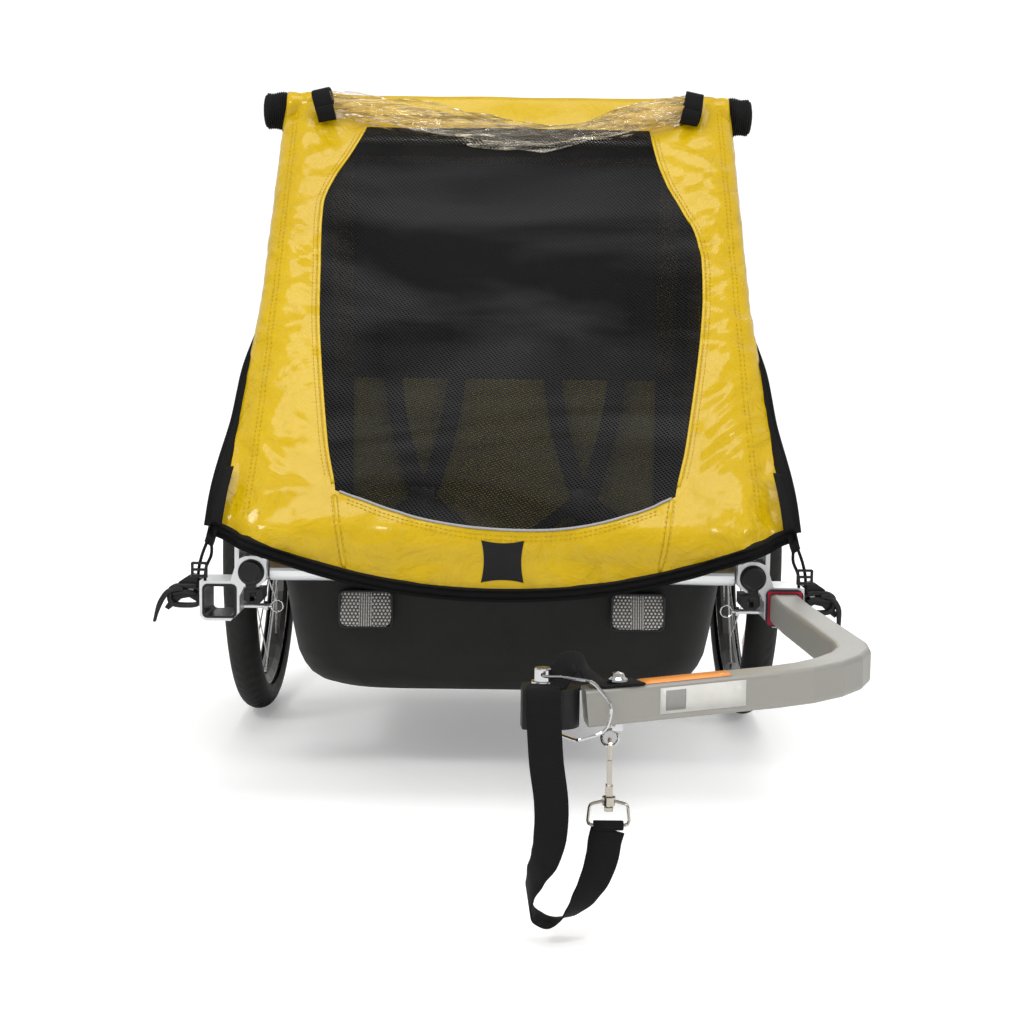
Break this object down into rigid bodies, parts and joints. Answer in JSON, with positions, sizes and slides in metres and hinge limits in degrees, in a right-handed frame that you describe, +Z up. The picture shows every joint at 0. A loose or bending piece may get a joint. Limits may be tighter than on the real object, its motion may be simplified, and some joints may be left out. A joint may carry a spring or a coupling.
{
  "type": "child bicycle trailer",
  "caption": "Two-wheeled enclosed bicycle trailer: fabric cabin on folding side hoops over a moulded floor tub, spoked quick-release wheels and a bent tow arm with a flexible hitch.",
  "frame": {"origin": "on the ground, under the middle of the whole footprint", "axes": "+Z up, -Y the direction of travel (the tow arm points to -Y), +X the trailer's own left"},
  "size_m": [0.785, 1.4192, 0.8981],
  "materials": {
    "aluminium": "satin",
    "arm_paint": "satin",
    "red_seal": "matte",
    "yellow_fabric": "coated",
    "clear_vinyl": "clear film",
    "webbing": "matte",
    "sling_fabric": "matte",
    "tyre": "matte",
    "rubber": "matte",
    "foam": "matte foam",
    "rim_alloy": "anodised",
    "plated_steel": "polished",
    "reflector": "prismatic",
    "tub_plastic": "grained",
    "black_plastic": "satin"
  },
  "bodies": {
    "frame": {"side_rail_left": "aluminium", "side_rail_right": "aluminium", "front_bracket_left": "aluminium", "front_bracket_right": "aluminium", "rear_bracket_left": "aluminium", "rear_bracket_right": "aluminium", "rail_cap_left": "black_plastic", "rail_cap_right": "black_plastic", "receiver_liner_left": "black_plastic", "receiver_liner_right": "black_plastic", "receiver_gasket": "red_seal", "front_crossbar": "aluminium", "rear_crossbar": "aluminium", "seat_crossbar": "aluminium", "axle_block_left": "aluminium", "axle_block_right": "aluminium", "floor_tub": "tub_plastic", "front_reflector_left": "reflector", "front_reflector_right": "reflector", "canopy": "yellow_fabric", "rain_window_roll": "clear_vinyl", "seat_sling": "sling_fabric", "harness_left": "webbing", "harness_right": "webbing", "cover_hook_left": "black_plastic", "cover_hook_right": "black_plastic", "corner_pad_left": "foam", "corner_pad_right": "foam", "roof_bar": "aluminium", "seat_back_bar": "black_plastic"},
    "hoop_right": {"hoop_right": "black_plastic"},
    "hoop_left": {"hoop_left": "black_plastic"},
    "tow_arm": {"tow_arm": "arm_paint", "strap_bolt": "plated_steel", "safety_strap": "webbing"},
    "coupler": {"hitch_coupler": "rubber", "hitch_pin": "plated_steel"},
    "pin_bail": {"pin_bail": "plated_steel"},
    "snap_hook": {"snap_hook": "plated_steel"},
    "snap_gate": {"snap_gate": "plated_steel"},
    "snap_swivel": {"snap_swivel": "plated_steel"},
    "receiver_pin_left": {"receiver_pin_left": "plated_steel"},
    "receiver_pin_right": {"receiver_pin_right": "plated_steel"},
    "axle_left": {"axle_left": "plated_steel"},
    "release_button_left": {"release_button_left": "black_plastic"},
    "wheel_left": {"tyre_left": "tyre", "rim_left": "rim_alloy", "spoked_hub_left": "black_plastic", "hub_bearing_left": "plated_steel"},
    "axle_right": {"axle_right": "plated_steel"},
    "release_button_right": {"release_button_right": "black_plastic"},
    "wheel_right": {"tyre_right": "tyre", "rim_right": "rim_alloy", "spoked_hub_right": "black_plastic", "hub_bearing_right": "plated_steel"}
  },
  "joints": [
    {"name": "side_fold_right", "type": "hinge", "parent": "frame", "child": "hoop_right", "pos_m": [-0.289, 0.3185, 0.314], "axis": [0, 1, 0], "range_deg": [0, 88], "deforming": ["canopy", "rain_window_roll", "seat_sling", "harness_left", "harness_right", "corner_pad_left", "corner_pad_right", "roof_bar", "seat_back_bar"]},
    {"name": "side_fold_left", "type": "hinge", "parent": "frame", "child": "hoop_left", "pos_m": [0.289, 0.3185, 0.314], "axis": [0, 1, 0], "range_deg": [-70.4, 0], "deforming": ["canopy", "rain_window_roll", "seat_sling", "harness_left", "harness_right", "corner_pad_left", "corner_pad_right", "roof_bar", "seat_back_bar"]},
    {"name": "axle_release_left", "type": "slide", "parent": "frame", "child": "axle_left", "axis": [1, 0, 0], "range_m": [0, 0.09]},
    {"name": "wheel_spin_left", "type": "hinge", "parent": "axle_left", "child": "wheel_left", "pos_m": [0.354, 0.3185, 0.247], "axis": [1, 0, 0], "continuous": true},
    {"name": "release_button_left", "type": "slide", "parent": "axle_left", "child": "release_button_left", "axis": [-1, 0, 0], "range_m": [0, 0.002]},
    {"name": "receiver_pin_left", "type": "slide", "parent": "frame", "child": "receiver_pin_left", "axis": [-1, 0, 0], "range_m": [0, 0.012]},
    {"name": "axle_release_right", "type": "slide", "parent": "frame", "child": "axle_right", "axis": [-1, 0, 0], "range_m": [0, 0.09]},
    {"name": "wheel_spin_right", "type": "hinge", "parent": "axle_right", "child": "wheel_right", "pos_m": [-0.354, 0.3185, 0.247], "axis": [1, 0, 0], "continuous": true},
    {"name": "release_button_right", "type": "slide", "parent": "axle_right", "child": "release_button_right", "axis": [1, 0, 0], "range_m": [0, 0.002]},
    {"name": "receiver_pin_right", "type": "slide", "parent": "frame", "child": "receiver_pin_right", "axis": [1, 0, 0], "range_m": [0, 0.012]},
    {"name": "tow_arm_slide", "type": "slide", "parent": "frame", "child": "tow_arm", "axis": [0, -1, 0], "range_m": [0, 0.12]},
    {"name": "hitch_flex", "type": "hinge", "parent": "tow_arm", "child": "coupler", "pos_m": [0.05, -0.6715, 0.212], "axis": [0, 0, 1], "range_deg": [-30, 8], "deforming": ["safety_strap"]},
    {"name": "bail_open", "type": "hinge", "parent": "coupler", "child": "pin_bail", "pos_m": [0.037, -0.6715, 0.241], "axis": [0, -1, 0], "range_deg": [0, 13], "deforming": ["safety_strap"]},
    {"name": "snap_hook_swing", "type": "hinge", "parent": "tow_arm", "child": "snap_hook", "pos_m": [0.0975, -0.66873, 0.17577], "axis": [0, 1, 0], "range_deg": [-12, 12], "deforming": ["safety_strap"]},
    {"name": "snap_gate_open", "type": "hinge", "parent": "snap_hook", "child": "snap_gate", "pos_m": [0.0975, -0.67353, 0.14127], "axis": [-1, 0, 0], "range_deg": [0, 20]},
    {"name": "snap_swivel_turn", "type": "hinge", "parent": "snap_hook", "child": "snap_swivel", "pos_m": [0.0975, -0.66873, 0.12577], "axis": [0, 0, 1], "range_deg": [-90, 90], "deforming": ["safety_strap"]}
  ],
  "couplings": [
    {"joint": "side_fold_left", "follows": "side_fold_right", "ratio": -0.8}
  ]
}
